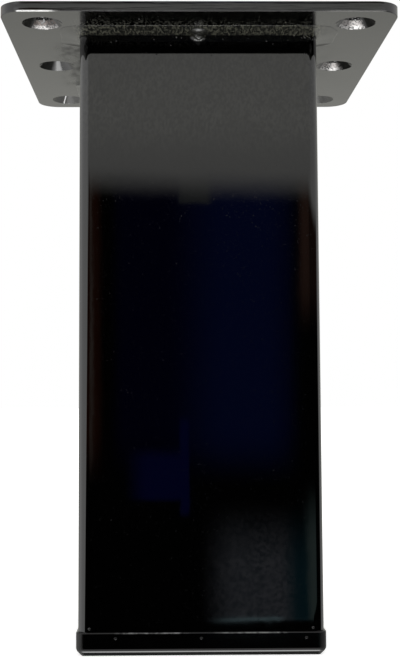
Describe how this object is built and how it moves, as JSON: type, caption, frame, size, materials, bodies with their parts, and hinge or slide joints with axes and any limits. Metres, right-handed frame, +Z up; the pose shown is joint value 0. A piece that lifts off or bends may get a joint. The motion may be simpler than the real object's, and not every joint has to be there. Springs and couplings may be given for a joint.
{
  "type": "square furniture leg",
  "caption": "Short square tube furniture leg with a flat screw plate welded on top and a moulded plug foot below.",
  "frame": {"origin": "on the floor, under the middle of the foot plug", "axes": "+Z up from the floor to the screw plate; X and Y along the sides of the tube, front towards -Y"},
  "size_m": [0.08, 0.08, 0.13],
  "materials": {
    "plate_paint": "gloss black paint, bare metal inside the screw holes",
    "tube_paint": "high gloss black paint",
    "weld_paint": "rough black paint over weld metal",
    "foot_plastic": "semi-gloss black moulded plastic"
  },
  "bodies": {
    "root": {"mounting_plate": "plate_paint", "leg_tube": "tube_paint", "weld_bead_front": "weld_paint", "weld_bead_back": "weld_paint", "foot_plug": "foot_plastic"}
  },
  "joints": []
}
